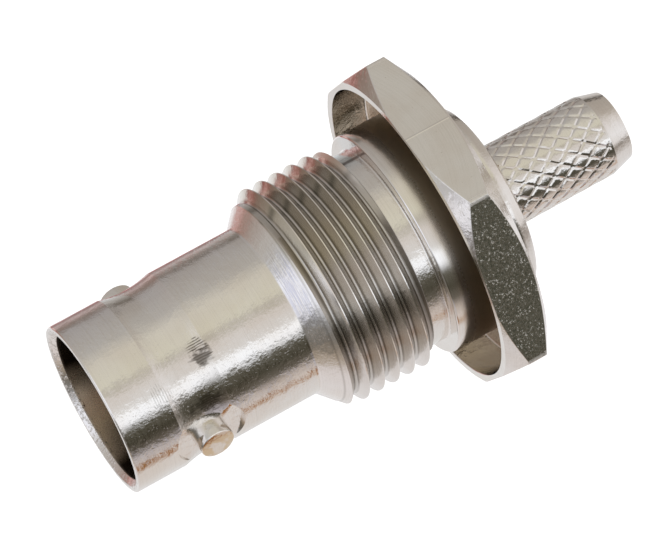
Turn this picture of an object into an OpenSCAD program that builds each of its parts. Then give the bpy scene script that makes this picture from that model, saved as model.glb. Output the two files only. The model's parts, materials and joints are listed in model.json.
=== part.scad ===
// Bulkhead coaxial jack with bayonet lugs, a panel thread and a knurled crimp stem.
// The axis runs along Y. The origin is the centre of the plane that seats on the panel,
// the mouth points to -Y, the cable end to +Y, and the bayonet lugs lie along X.

/* [Barrel] */
// Distance from the panel seat to the mouth rim
mouth_reach = 19.5; // [18.5:0.1:23.4]
// Outside diameter of the barrel
barrel_d = 9.65; // [9.4:0.05:10.2]
// Length of the plain barrel, from the rim to the flare
barrel_len = 10.8; // [9.6:0.1:11.2]
// Inside diameter at the rim, where the mouth is widest
mouth_d = 8.95; // [8.6:0.05:9.2]
// Depth of the bevel inside the rim
mouth_bevel = 0.3; // [0.1:0.05:0.6]
// Inside diameter behind the bevel, where the long lead-in starts
lead_d = 8.4; // [8.2:0.05:8.6]
// Depth at which the long lead-in has closed to the bore
lead_depth = 1.6; // [0.8:0.1:2.4]
// Diameter of the socket bore
bore_d = 8.13; // [7.4:0.01:8.2]
// Depth of the socket bore, from the rim to its floor
bore_depth = 8.4; // [7.0:0.1:10]
// Radius of the small rounds on turned edges
edge_r = 0.12; // [0.05:0.01:0.2]

/* [Bayonet lugs] */
// Diameter of a lug
lug_d = 1.9; // [1.6:0.05:2.3]
// Distance across the ends of the two lugs
lug_span = 11.0; // [10.6:0.05:12]
// Distance from the rim to the centre of the lugs
lug_reach = 4.4; // [3.6:0.1:5.3]
// Bevel round the end of a lug
lug_bevel = 0.1; // [0.05:0.01:0.2]
// Width of the shallow waist milled between the lugs
waist_w = 3.0; // [2.4:0.1:3.6]
// Depth of the waist at its middle
waist_depth = 0.2; // [0.1:0.01:0.26]
// Diameter of the ring that the hollow mill cuts round a lug
mill_d = 3.95; // [3.4:0.05:4.6]
// Depth of the milled ring below the barrel's surface
mill_depth = 0.24; // [0.21:0.01:0.3]

/* [Panel thread] */
// Major diameter of the panel thread
thread_d = 12.6; // [12.0:0.05:12.7]
// Minor diameter, where the flare ends and the thread's lead begins
thread_root_d = 11.5; // [11.2:0.05:11.9]
// Length of the full thread
thread_len = 4.35; // [3.5:0.05:5.2]
// Length of the bevel that leads into the thread
thread_lead = 0.6; // [0.3:0.05:0.8]
// Axial length of the flare from the barrel to the thread
flare_len = 0.85; // [0.6:0.05:1.1]

/* [Panel spigot] */
// Diameter of the neck behind the thread
neck_d = 11.15; // [10.8:0.05:11.4]
// Diameter of the spigot that centres the jack in the panel
spigot_d = 12.8; // [12.4:0.05:13.4]
// How far the spigot stands in front of the panel seat
spigot_reach = 1.3; // [0.8:0.1:1.8]
// Radius of the spigot's front edge
spigot_edge = 0.25; // [0.1:0.05:0.5]

/* [Hexagon] */
// Distance across the flats
hex_af = 17.45; // [17.3:0.05:21.6]
// Thickness of the hexagon
hex_t = 2.78; // [2.6:0.01:3.5]
// Width of the flat seat ring between the recess and the front bevel, at the corners
seat_w = 0.43; // [0.3:0.01:0.5]
// Wall left between the recess and the middle of a flat
recess_wall = 0.28; // [0.24:0.01:0.9]
// Depth of the recess round the spigot
recess_depth = 2.1; // [1.6:0.1:2.2]
// How far inside the flats the rear bevel ends
rear_inset = 0.27; // [0.05:0.01:0.8]
// Angle of the bevels from the hexagon's faces
bevel_angle = 32; // [25:1:35]
// Turn of the hexagon's corners past the lugs
hex_turn = 3; // [0:1:30]

/* [Rolled collar] */
// Outside diameter of the collar that is rolled over the stem
collar_d = 10.9; // [10.7:0.05:12]
// How far the collar stands behind the hexagon
collar_len = 1.62; // [1.3:0.01:2.0]
// Radius of the rolled edge
collar_edge = 0.8; // [0.4:0.05:1.0]
// Thickness of the lip over the stem's flange
lip_t = 0.7; // [0.5:0.05:0.8]
// How far the lip laps over the stem's flange
lip_lap = 0.9; // [0.5:0.05:1.2]

/* [Crimp stem] */
// Distance from the panel seat to the end of the stem
stem_reach = 12.3; // [10.4:0.1:14.8]
// Diameter of the stem in front of the knurl
stem_d = 4.54; // [4.2:0.02:4.6]
// Diameter over the knurl's pads
knurl_d = 4.62; // [4.6:0.02:5.0]
// Distance from the collar to the knurl
knurl_gap = 1.0; // [0.6:0.1:1.6]
// Plain length behind the knurl, which tapers
taper_len = 1.2; // [0.8:0.1:1.6]
// Diameter at the end of the taper
tip_d = 3.9; // [3.8:0.02:4.2]
// Bore for the cable's insulated core
cable_bore_d = 3.1; // [2.5:0.05:3.3]
// Diameter of the flange that the collar holds
flange_d = 9.2; // [8.8:0.05:9.3]
// Thickness of the flange
flange_t = 1.5; // [1.25:0.05:1.9]

/* [Insulators and contact] */
// Diameter of the insulator's nose in the socket
nose_d = 4.9; // [4.4:0.05:5.1]
// Distance from the rim to the nose
nose_reach = 3.4; // [3.0:0.1:4.0]
// Diameter of the insulators' bodies
insulator_d = 6.4; // [6.0:0.05:6.8]
// Thickness of the ledge that the front insulator seats on
ledge_t = 0.8; // [0.5:0.05:1.2]
// Length of the front insulator's body behind the ledge
front_body_len = 4.8; // [4.0:0.1:5.4]
// Diameter of the contact's socket
contact_d = 2.1; // [1.95:0.01:2.3]
// Diameter of the hole for the mating pin
pin_hole_d = 1.4; // [1.3:0.01:1.5]
// Depth of the hole for the mating pin
pin_hole_depth = 5.3; // [4.6:0.1:6.0]
// Width of the slots between the contact's fingers
slot_w = 0.24; // [0.16:0.02:0.26]
// Length of the fingers
slot_len = 4.0; // [3.0:0.1:4.4]
// Diameter of the shoulder that is held between the insulators
shoulder_d = 3.0; // [2.7:0.05:3.6]
// Length of the shoulder
shoulder_len = 1.1; // [0.8:0.05:1.4]
// Hole for the cable's inner conductor
pot_hole_d = 1.0; // [0.9:0.02:1.2]
// Depth of the hole for the cable's inner conductor
pot_hole_depth = 3.0; // [2.4:0.1:3.6]
// How far the contact stops short of the nose
contact_setback = 0.15; // [0.1:0.05:0.3]

/* [Fits] */
// Radial clearance of a part pushed into its seat
push_fit = 0.01; // [0.005:0.005:0.03]
// Radial clearance of a part that passes through a hole
pass_fit = 0.05; // [0.03:0.01:0.1]

/* [Hidden] */

$fn = 96;
over = 0.5;

// Stations along the axis, from the panel seat.
mouth_y = -mouth_reach;
flare_y = mouth_y + barrel_len;
root_y = flare_y + flare_len;
thread_y = root_y + thread_lead;
thread_end_y = thread_y + thread_len;
neck_y = thread_end_y + (thread_d - neck_d) / 2;
lug_y = mouth_y + lug_reach;
floor_y = mouth_y + bore_depth;
ledge_y = floor_y + ledge_t;
split_y = ledge_y + front_body_len;
collar_y = hex_t + collar_len;
lip_y = collar_y - lip_t;
flange_y = lip_y - flange_t;
knurl_y = collar_y + knurl_gap;
taper_y = stem_reach - taper_len;
nose_y = mouth_y + nose_reach;
contact_y = nose_y + contact_setback;

// Radii that follow from what they meet.
recess_r = hex_af / 2 - recess_wall;
seat_r = recess_r + seat_w;
rear_r = hex_af / 2 - rear_inset;
corner_r = hex_af / 2 / cos(30);
waist_r = (pow(waist_w / 2, 2) + pow(waist_depth, 2)) / (2 * waist_depth);
seat_bore_r = insulator_d / 2 + push_fit;
nose_hole_r = nose_d / 2 + pass_fit;
lip_r = flange_d / 2 - lip_lap;
socket_bore_r = contact_d / 2 + push_fit;

// Lays a shape that was drawn along Z along the jack's axis.
module along_axis() {
    rotate([-90, 0, 0]) children();
}

// A solid turned from a half profile of [radius, station] points.
module turned(profile) {
    rotate_extrude() polygon(profile);
}

// A plain round bar or hole between two stations.
module bar(r, from_y, to_y) {
    translate([0, 0, from_y]) cylinder(r = r, h = to_y - from_y);
}

// A ring with a round section, used to cut hollows and to round outer edges.
module ring(centre_r, section_r, at_y) {
    translate([0, 0, at_y]) rotate_extrude() translate([centre_r, 0]) circle(r = section_r);
}

// The barrel, with the shallow waist that the lugs stand in.
module barrel() {
    r = barrel_d / 2;
    difference() {
        turned([
            [0, mouth_y], [r - edge_r, mouth_y], [r, mouth_y + edge_r],
            [r, flare_y], [thread_root_d / 2, root_y], [0, root_y]
        ]);
        ring(r - waist_depth + waist_r, waist_r, lug_y);
    }
}

// Everything that a hollow mill takes away round one lug.
module mill_cut() {
    depth_r = barrel_d / 2 - mill_depth;
    translate([0, 0, lug_y]) rotate([0, 90, 0])
        translate([0, 0, depth_r]) cylinder(d = mill_d, h = over + mill_depth);
}

// One bayonet lug, with a bevelled end.
module lug() {
    start = barrel_d / 2 - mill_depth - over;
    translate([0, 0, lug_y]) rotate([0, 90, 0]) {
        translate([0, 0, start]) cylinder(d = lug_d, h = lug_span / 2 - lug_bevel - start);
        translate([0, 0, lug_span / 2 - lug_bevel])
            cylinder(d1 = lug_d, d2 = lug_d - 2 * lug_bevel, h = lug_bevel);
    }
}

// The barrel with both lugs standing in their milled rings.
module bayonet_barrel() {
    difference() {
        barrel();
        for (turn = [0, 180]) rotate([0, 0, turn]) mill_cut();
    }
    for (turn = [0, 180]) rotate([0, 0, turn]) lug();
}

// The thread's full diameter, its lead and run-out, and the neck behind it.
module thread_body() {
    turned([
        [0, root_y], [thread_root_d / 2, root_y], [thread_d / 2, thread_y],
        [thread_d / 2, thread_end_y], [neck_d / 2, neck_y],
        [neck_d / 2, recess_depth], [0, recess_depth]
    ]);
}

// The spigot that enters the panel, with a rounded front edge.
module spigot() {
    r = spigot_d / 2;
    bar(r, spigot_edge - spigot_reach, recess_depth + over / 2);
    bar(r - spigot_edge, -spigot_reach, 0);
    ring(r - spigot_edge, spigot_edge, spigot_edge - spigot_reach);
}

// The hexagon, bevelled front and back, with the open recess round the spigot.
module hexagon() {
    bevel = tan(bevel_angle);
    front_h = (corner_r + over - seat_r) * bevel;
    rear_h = (corner_r + over - rear_r) * bevel;
    difference() {
        intersection() {
            rotate([0, 0, hex_turn]) cylinder(r = corner_r, h = hex_t, $fn = 6);
            turned([
                [0, 0], [seat_r, 0], [corner_r + over, front_h],
                [corner_r + over, hex_t - rear_h], [rear_r, hex_t], [0, hex_t]
            ]);
        }
        bar(recess_r, -over, recess_depth);
    }
}

// The collar, drawn as it is after it was rolled over the stem's flange.
module collar() {
    r = collar_d / 2;
    bar(r, hex_t - over / 2, collar_y - collar_edge);
    bar(r - collar_edge, hex_t, collar_y);
    ring(r - collar_edge, collar_edge, collar_y - collar_edge);
}

// The mouth: a bevelled rim, a long lead-in and the socket bore.
module socket() {
    bevel_y = mouth_y + mouth_bevel;
    slope = (mouth_d - lead_d) / 2 / mouth_bevel;
    turned([
        [0, mouth_y - over], [mouth_d / 2 + over * slope, mouth_y - over],
        [lead_d / 2, bevel_y], [bore_d / 2, mouth_y + lead_depth],
        [bore_d / 2, floor_y], [0, floor_y]
    ]);
}

// The shell: one piece turned from hexagon bar and milled at the lugs.
module shell() {
    color("silver") along_axis() difference() {
        union() {
            bayonet_barrel();
            thread_body();
            spigot();
            hexagon();
            collar();
        }
        socket();
        bar(nose_hole_r, floor_y - over, ledge_y + over);
        bar(seat_bore_r, ledge_y, flange_y + over);
        bar(flange_d / 2 + push_fit, flange_y, lip_y);
        bar(lip_r, lip_y - over, collar_y + over);
    }
}

// The crimp stem: a flange held in the collar and a knurled, tapered spigot with a cable bore.
module crimp_stem() {
    color("gainsboro") along_axis() difference() {
        union() {
            bar(flange_d / 2, flange_y, lip_y);
            bar(stem_d / 2, flange_y, knurl_y);
            bar(knurl_d / 2, knurl_y, taper_y);
            turned([
                [0, taper_y], [stem_d / 2, taper_y], [tip_d / 2, stem_reach], [0, stem_reach]
            ]);
        }
        bar(cable_bore_d / 2, flange_y - over, stem_reach + over);
    }
}

// The front insulator: its nose stands in the socket, and its body seats on the ledge.
module front_insulator() {
    color("white") along_axis() difference() {
        union() {
            bar(nose_d / 2, nose_y, ledge_y);
            bar(insulator_d / 2, ledge_y, split_y);
        }
        bar(socket_bore_r, nose_y - over, split_y + over);
        bar(shoulder_d / 2 + push_fit, split_y - shoulder_len, split_y + over);
    }
}

// The rear insulator: fills the seat bore up to the stem and holds the contact's shoulder.
module rear_insulator() {
    color("white") along_axis() difference() {
        bar(insulator_d / 2, split_y, flange_y);
        bar(socket_bore_r, split_y - over, flange_y + over);
    }
}

// The centre contact: a slotted socket, a held shoulder and a solder pot for the cable.
module centre_contact() {
    end_y = flange_y;
    color("gold") along_axis() difference() {
        union() {
            bar(contact_d / 2, contact_y, end_y);
            bar(shoulder_d / 2, split_y - shoulder_len, split_y);
        }
        bar(pin_hole_d / 2, contact_y - over, contact_y + pin_hole_depth);
        bar(pot_hole_d / 2, end_y - pot_hole_depth, end_y + over);
        for (turn = [0, 90]) rotate([0, 0, turn])
            translate([-contact_d, -slot_w / 2, contact_y - over])
                cube([2 * contact_d, slot_w, slot_len + over]);
    }
}

shell();
crimp_stem();
front_insulator();
rear_insulator();
centre_contact();
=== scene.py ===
"""Looks of a bulkhead coaxial jack with bayonet lugs, around its packed construction model.

The shell and the crimp stem are rebuilt as fine meshes with the thread and the knurl cut in.
The insulators and the contact keep their construction solids and get a finish.
Lengths are in metres, in the construction model's frame: the axis runs along Y, the mouth
points to -Y and the bayonet lugs lie along X. Turns run about +Y, from the lug on +X.
Finishes work in millimetres and degrees, and their heights are in millimetres too.
"""

import json
import logging
import math
import random
from collections import defaultdict
from collections.abc import Callable, Mapping, Sequence
from dataclasses import dataclass
from enum import Enum
from functools import cached_property

import bmesh
import bpy
from mathutils import Matrix, Vector

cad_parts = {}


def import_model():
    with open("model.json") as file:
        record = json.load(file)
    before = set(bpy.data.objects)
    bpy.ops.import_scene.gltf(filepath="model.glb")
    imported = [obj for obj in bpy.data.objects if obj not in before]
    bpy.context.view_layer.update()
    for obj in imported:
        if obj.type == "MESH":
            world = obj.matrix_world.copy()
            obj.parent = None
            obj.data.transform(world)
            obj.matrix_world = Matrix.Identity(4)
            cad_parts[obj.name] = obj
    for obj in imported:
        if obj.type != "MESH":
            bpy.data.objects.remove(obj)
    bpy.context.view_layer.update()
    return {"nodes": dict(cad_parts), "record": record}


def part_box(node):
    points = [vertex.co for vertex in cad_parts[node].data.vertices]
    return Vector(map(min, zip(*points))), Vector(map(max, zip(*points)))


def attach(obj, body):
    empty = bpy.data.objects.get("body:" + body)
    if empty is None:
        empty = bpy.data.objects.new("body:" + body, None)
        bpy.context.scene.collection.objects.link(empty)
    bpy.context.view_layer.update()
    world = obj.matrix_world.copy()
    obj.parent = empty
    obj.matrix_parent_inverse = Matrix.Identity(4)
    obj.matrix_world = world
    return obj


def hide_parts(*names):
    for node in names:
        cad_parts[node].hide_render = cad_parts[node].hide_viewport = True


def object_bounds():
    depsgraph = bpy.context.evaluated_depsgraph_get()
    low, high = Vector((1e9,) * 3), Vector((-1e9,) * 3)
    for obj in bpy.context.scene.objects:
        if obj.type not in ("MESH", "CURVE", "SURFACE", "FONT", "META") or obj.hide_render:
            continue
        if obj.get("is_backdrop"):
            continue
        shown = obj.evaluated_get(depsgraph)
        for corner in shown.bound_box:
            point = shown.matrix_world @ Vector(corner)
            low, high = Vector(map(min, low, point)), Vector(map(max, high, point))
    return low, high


log = logging.getLogger("jack")

MM = 0.001
Point = tuple[float, float, float]
Colour = tuple[float, float, float]
Node2 = tuple[float, float]


def srgb(red: int, green: int, blue: int) -> Colour:
    """Turn display values from 0 to 255 into linear light.

    Args:
        red: Red on the display.
        green: Green on the display.
        blue: Blue on the display.

    Returns:
        The same colour as linear values from 0 to 1.
    """
    return tuple(
        v / 12.92 if v <= 0.04045 else ((v + 0.055) / 1.055) ** 2.4
        for v in (red / 255, green / 255, blue / 255)
    )


# ---------------------------------------------------------------- shader expressions


class Signal:
    """A shader socket that can be used in arithmetic."""

    def __init__(self, graph: "Graph", socket: bpy.types.NodeSocket | None) -> None:
        """Keep the graph and the socket."""
        self.graph = graph
        self.socket = socket

    def maths(self, operation: str, *others: "Signal | float") -> "Signal":
        """Add one Math node that starts from this signal.

        Args:
            operation: The Math node's operation.
            others: The second and third inputs, where it has them.

        Returns:
            The node's value.
        """
        inputs = dict(enumerate((self, *others)))
        return self.graph.node("ShaderNodeMath", {"operation": operation}, inputs)

    def __add__(self, other: "Signal | float") -> "Signal":
        """Add."""
        return self.maths("ADD", other)

    __radd__ = __add__

    def __mul__(self, other: "Signal | float") -> "Signal":
        """Multiply."""
        return self.maths("MULTIPLY", other)

    __rmul__ = __mul__

    def __sub__(self, other: "Signal | float") -> "Signal":
        """Subtract."""
        return self.maths("SUBTRACT", other)

    def __rsub__(self, other: float) -> "Signal":
        """Subtract this signal from a number."""
        return self.maths("MULTIPLY", -1.0) + other

    def __truediv__(self, other: "Signal | float") -> "Signal":
        """Divide."""
        return self.maths("DIVIDE", other)

    def clamped(self) -> "Signal":
        """Limit to the range from 0 to 1."""
        return self.maths("MAXIMUM", 0.0).maths("MINIMUM", 1.0)

    def step(self, low: float, high: float) -> "Signal":
        """Ease from 0 at low to 1 at high. High may lie below low, and then the signal falls."""
        rise = ((self - low) / (high - low)).clamped()
        return rise * rise * (3.0 - rise * 2.0)

    def window(self, low: float, high: float, edge: float) -> "Signal":
        """Be 1 between low and high and 0 outside, easing over edge to each side of both."""
        return self.step(low - edge, low + edge) * self.step(high + edge, high - edge)


class Graph:
    """A node tree, written to by one method for every type of node."""

    def __init__(self, tree: bpy.types.NodeTree) -> None:
        """Empty the tree and keep it."""
        self.tree = tree
        tree.nodes.clear()

    def node(
        self,
        kind: str,
        settings: Mapping[str, object] | None = None,
        inputs: Mapping[int | str, object] | None = None,
        output: int | str = 0,
    ) -> Signal:
        """Add a node.

        Args:
            kind: The node's type name.
            settings: Its settings, set first. The name stops holds a ramp's stops.
            inputs: Values or signals for its sockets, by name or index.
            output: The output that is returned.

        Returns:
            The chosen output.
        """
        made = self.tree.nodes.new(kind)
        for name, value in (settings or {}).items():
            if name == "stops":
                self._set_stops(made.color_ramp, value)
            else:
                setattr(made, name, value)
        for name, value in (inputs or {}).items():
            if isinstance(value, Signal):
                self.tree.links.new(value.socket, made.inputs[name])
            else:
                made.inputs[name].default_value = value
        return Signal(self, made.outputs[output] if made.outputs else None)

    @staticmethod
    def _set_stops(ramp: bpy.types.ColorRamp, stops: Sequence[tuple[float, Colour]]) -> None:
        """Give a colour ramp its stops.

        Args:
            ramp: The ramp, which starts with two stops.
            stops: Position and colour of each stop, in rising order.
        """
        for position, _ in stops[2:]:
            ramp.elements.new(position)
        for element, (position, colour) in zip(ramp.elements, stops):
            element.position = position
            element.color = (*colour, 1.0)

    def mix(
        self, factor: Signal | float, first: Signal | Colour, second: Signal | Colour
    ) -> Signal:
        """Mix two colours.

        Args:
            factor: 0 for the first colour, 1 for the second.
            first: A colour or signal.
            second: A colour or signal.

        Returns:
            The mixed colour.
        """
        colours = [c if isinstance(c, Signal) else (*c, 1.0) for c in (first, second)]
        inputs = {0: factor, 6: colours[0], 7: colours[1]}
        return self.node("ShaderNodeMix", {"data_type": "RGBA"}, inputs, output=2)

    def vector(self, operation: str, *inputs: Signal | Point, output: int | str = 0) -> Signal:
        """Add a Vector Math node.

        Args:
            operation: The node's operation.
            inputs: Vectors or signals.
            output: The output that is returned.

        Returns:
            The chosen output.
        """
        return self.node(
            "ShaderNodeVectorMath", {"operation": operation}, dict(enumerate(inputs)), output
        )

    def dot(self, first: Signal, second: Point) -> Signal:
        """Give the dot product of a signal and a fixed vector."""
        return self.vector("DOT_PRODUCT", first, second, output="Value")

    def noise(self, place: Signal, scale: float, detail: float = 2.0, rough: float = 0.5) -> Signal:
        """Add fractal noise from 0 to 1.

        Args:
            place: Where it is looked up.
            scale: How fine it is.
            detail: How many octaves it has.
            rough: How strong the finer octaves are.

        Returns:
            The noise's value.
        """
        inputs = {"Vector": place, "Scale": scale, "Detail": detail, "Roughness": rough}
        return self.node("ShaderNodeTexNoise", inputs=inputs)

    def bump(self, height: Signal, strength: float = 1.0) -> Signal:
        """Turn a height in millimetres into a normal."""
        inputs = {"Strength": strength, "Distance": MM, "Height": height}
        return self.node("ShaderNodeBump", inputs=inputs)


class Place:
    """A surface point's place on the jack, as signals in millimetres and degrees."""

    def __init__(self, graph: Graph) -> None:
        """Split the object's own coordinates into along, out from and round the axis.

        Args:
            graph: The material's graph.
        """
        self.graph = graph
        metres = graph.node("ShaderNodeTexCoord", output="Object")
        scale = {0: metres, "Scale": 1 / MM}
        self.spot = graph.node("ShaderNodeVectorMath", {"operation": "SCALE"}, scale)
        outputs = graph.node("ShaderNodeSeparateXYZ", inputs={0: self.spot}).socket.node.outputs
        self.across, self.axial, self.up = (Signal(graph, outputs[i]) for i in range(3))
        self.radius = (self.across * self.across + self.up * self.up).maths("SQRT")
        self.azimuth = (self.up * -1.0).maths("ARCTAN2", self.across) * (180 / math.pi)

    @cached_property
    def level(self) -> Signal:
        """How far the surface faces the cable end, from -1 to 1."""
        facing = self.graph.node("ShaderNodeNewGeometry", output="True Normal")
        return self.graph.dot(facing, (0.0, 1.0, 0.0))

    def noise(self, scale: float, detail: float = 2.0, rough: float = 0.5) -> Signal:
        """Add even noise at this place. Its numbers are those of the graph's noise."""
        return self.graph.noise(self.spot, scale, detail, rough)

    def ringed(self, along: float, round_about: float, out: float) -> Signal:
        """Make a lookup place that runs round the axis.

        Args:
            along: How fast it changes along the axis.
            round_about: How fast it changes round the axis, for each millimetre of arc.
            out: How fast it changes with the radius.

        Returns:
            The place as a vector.
        """
        flat = self.graph.vector("MULTIPLY", self.spot, (round_about, along, round_about))
        out_from = self.graph.node("ShaderNodeCombineXYZ", inputs={1: self.radius * out})
        return self.graph.vector("ADD", flat, out_from)

    def turned(self, rate: float, round_about: float, detail: float, rough: float) -> Signal:
        """Add the noise of turning marks.

        Args:
            rate: How fine the marks are along the axis and across a face.
            round_about: How fast each mark changes along its own run.
            detail: How many octaves they have.
            rough: How strong the finer octaves are.

        Returns:
            The marks' value from 0 to 1.
        """
        return self.graph.noise(self.ringed(rate, round_about, rate), 1.0, detail, rough)


# ---------------------------------------------------------------- finishes


class Coat(Enum):
    """What the finishes are made of, by its colour in linear light."""

    NICKEL = srgb(232, 228, 222)
    WARM_NICKEL = srgb(228, 222, 214)
    DULL_GRAIN = srgb(116, 106, 94)
    DULL_TURNING = srgb(168, 158, 147)
    GOLD = srgb(246, 205, 122)
    THIN_GOLD = srgb(226, 176, 96)
    WHITE = srgb(246, 245, 241)
    GREY_WHITE = srgb(233, 232, 226)


class StainAndShade(Enum):
    """Real stains, and painted shade and reflections, that colour parts of the shell, in linear
    light.
    """

    # Painted shade on the thread: its upper front flanks, its roots and rear flanks, and just under
    # its crests.
    FLANK = srgb(206, 199, 184)
    THREAD_ROOT = srgb(104, 95, 80)
    THREAD_MARK = srgb(92, 94, 82)
    # Painted reflections on the neck: a pale band and a dark line.
    NECK = srgb(214, 222, 224)
    NECK_LINE = srgb(96, 84, 78)
    # Painted shade between the flare's strokes, in its highlight.
    FLARE = srgb(202, 200, 206)
    # Real stains, wear and etching.
    LUG_END = srgb(210, 184, 142)
    SCUFF = srgb(64, 55, 42)
    FROST = srgb(150, 150, 140)
    # Painted shade on the hexagon's lower flat, mottled by its frost.
    DARK_FROST = srgb(120, 130, 116)
    DULL_FLAT = srgb(220, 226, 214)
    # Painted shade on the spigot, in the recess and inside the socket.
    SPIGOT = srgb(156, 134, 94)
    RECESS = srgb(156, 132, 84)
    SOCKET = srgb(166, 148, 126)
    SOCKET_SIDE = srgb(34, 27, 18)


@dataclass(frozen=True, kw_only=True)
class Finish:
    """A procedural material.

    Attributes:
        name: The material's name.
    """

    name: str

    def make(self) -> bpy.types.Material:
        """Build the material.

        Returns:
            The material.
        """
        material = bpy.data.materials.new(self.name)
        material.use_nodes = True
        graph = Graph(material.node_tree)
        sockets = self.sockets(graph, Place(graph))
        shader = graph.node("ShaderNodeBsdfPrincipled", inputs=sockets)
        graph.node("ShaderNodeOutputMaterial", inputs={"Surface": shader})
        return material

    def sockets(self, graph: Graph, place: Place) -> dict[str, object]:
        """Work out the shader's inputs.

        Args:
            graph: The material's graph.
            place: The surface point's place.

        Returns:
            Values and signals for the shader's sockets.
        """
        raise NotImplementedError


class Scratch(Enum):
    """Which way a patch of scratches runs, in radians of their pattern.

    The first number is for each degree round the axis, the second for each millimetre along it.
    """

    LENGTHWISE = (3.9, 0.0)
    TURNING = (0.0, 46.0)


@dataclass(frozen=True)
class Scuff:
    """A soft patch of fine dark scratches.

    Attributes:
        turn: Where it lies round the axis, in degrees.
        spread: Half its width round the axis, in degrees.
        middle: Where it lies along the axis, in millimetres.
        reach: Half its length along the axis, in millimetres.
        run: Which way its scratches run.
        strength: How dark its scratches are, from 0 to 1.
        smudge: How dark it is between its scratches, from 0 to 1.
        ragged: How far noise moves its edge, as a share of its size.
    """

    turn: float
    spread: float
    middle: float
    reach: float
    run: Scratch = Scratch.LENGTHWISE
    strength: float = 0.8
    smudge: float = 0.0
    ragged: float = 1.5

    def mask(self, place: Place) -> Signal:
        """Give the patch's strength.

        Args:
            place: The surface point's place.

        Returns:
            A mask from 0 to 1.
        """
        round_rate, along_rate = self.run.value
        blotch = place.noise(3.0)
        wave = place.azimuth * round_rate + place.axial * along_rate + blotch * 4.0
        lines = wave.maths("SINE").step(-0.3, 0.5)
        round_about = (place.azimuth - self.turn) / self.spread
        lengthwise = (place.axial - self.middle) / self.reach
        far = (round_about * round_about + lengthwise * lengthwise).maths("SQRT")
        torn = place.graph.noise(place.ringed(1.5, 7.0, 0.0), 1.0)
        inside = (far + (torn + blotch) * self.ragged - self.ragged).step(1.1, 0.4)
        return inside * (lines * (self.strength - self.smudge) + self.smudge)


@dataclass(frozen=True)
class Sizes:
    """Where the shell's finish changes, in millimetres.

    Attributes:
        mouth: Where the rim stands.
        flare: Ends of the flare.
        thread: Ends of the thread.
        root: Radius of the thread's root.
        hexagon: Thickness of the hexagon and half its width across flats.
        spigot: How far the spigot stands out and its radius.
        recess: Depth of the hexagon's recess and its radius.
        hollow: Radius of the socket, which is dull and painted with shade inside.
        lug_end: How far the lugs reach from the axis.
    """

    mouth: float
    flare: tuple[float, float]
    thread: tuple[float, float]
    root: float
    hexagon: tuple[float, float]
    spigot: tuple[float, float]
    recess: tuple[float, float]
    hollow: float
    lug_end: float


@dataclass
class Surface:
    """Colour, roughness and height of a finish, which its zones change."""

    place: Place
    tone: Signal
    rough: Signal
    height: Signal

    def tint(self, mask: Signal, stain_and_shade: StainAndShade) -> None:
        """Colour a zone.

        Args:
            mask: How strongly, from 0 to 1.
            stain_and_shade: What colours it, a real stain or a painted shade.
        """
        self.tone = self.place.graph.mix(mask, self.tone, stain_and_shade.value)

    def calm(self, mask: Signal, rougher: float, flatter: float = 0.0) -> None:
        """Make a zone duller and smoother.

        Args:
            mask: Where it is, from 0 to 1.
            rougher: What is added to its roughness.
            flatter: How much of its height goes, from 0 to 1.
        """
        self.rough = self.rough + mask * rougher
        if flatter:
            self.height = self.height * (1.0 - mask * flatter)

    def raise_by(self, height: Signal) -> None:
        """Add a height in millimetres."""
        self.height = self.height + height


@dataclass(frozen=True, kw_only=True)
class TurnedNickel(Finish):
    """Nickel plate over turned brass: orange peel, pits, faint rings and a slow drift in tone.

    Attributes:
        roughness: Roughness of the clean plate.
        peel: Height of the orange peel, in millimetres.
        grain: Height of the fine grain, in millimetres.
        pits: Depth of the scattered pits, in millimetres.
        rings: Height of the turning rings, in millimetres.
    """

    roughness: float = 0.025
    peel: float = 0.008
    grain: float = 0.007
    pits: float = 0.0035
    rings: float = 0.0008

    def sockets(self, graph: Graph, place: Place) -> dict[str, object]:
        """Work out the shader's inputs.

        Args:
            graph: The material's graph.
            place: The surface point's place.

        Returns:
            Values and signals for the shader's sockets.
        """
        turning = place.turned(14.0, 0.25, 4.0, 0.7)
        peel = place.noise(3.2, 2.0, 0.6)
        grain = place.noise(9.0, 2.0, 0.8)
        drift = place.noise(0.55)
        patches = place.noise(1.2, 3.0, 0.6).step(0.40, 0.62)
        pits = place.noise(8.0, 3.0, 0.75).step(0.61, 0.76)
        height = peel * self.peel * (patches * 0.7 + 0.3)
        height = height + grain * self.grain * (patches * 0.8 + 0.3)
        height = height - pits * self.pits + turning * self.rings
        tone = graph.mix(drift.step(0.3, 0.7), Coat.NICKEL.value, Coat.WARM_NICKEL.value)
        tone = graph.mix(grain.step(0.68, 0.80) * 0.55, tone, Coat.DULL_GRAIN.value)
        tone = graph.mix(turning.step(0.56, 0.30) * 0.10, tone, Coat.DULL_TURNING.value)
        rough = grain * 0.08 + turning * 0.03 + self.roughness
        surface = Surface(place, tone, rough, height)
        self.zones(surface)
        return {
            "Base Color": surface.tone,
            "Metallic": 1.0,
            "Roughness": surface.rough.clamped(),
            "Normal": graph.bump(surface.height),
        }

    def zones(self, surface: Surface) -> None:
        """Change the finish where the piece needs it, which plain plate doesn't.

        Args:
            surface: The finish so far.
        """


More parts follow.
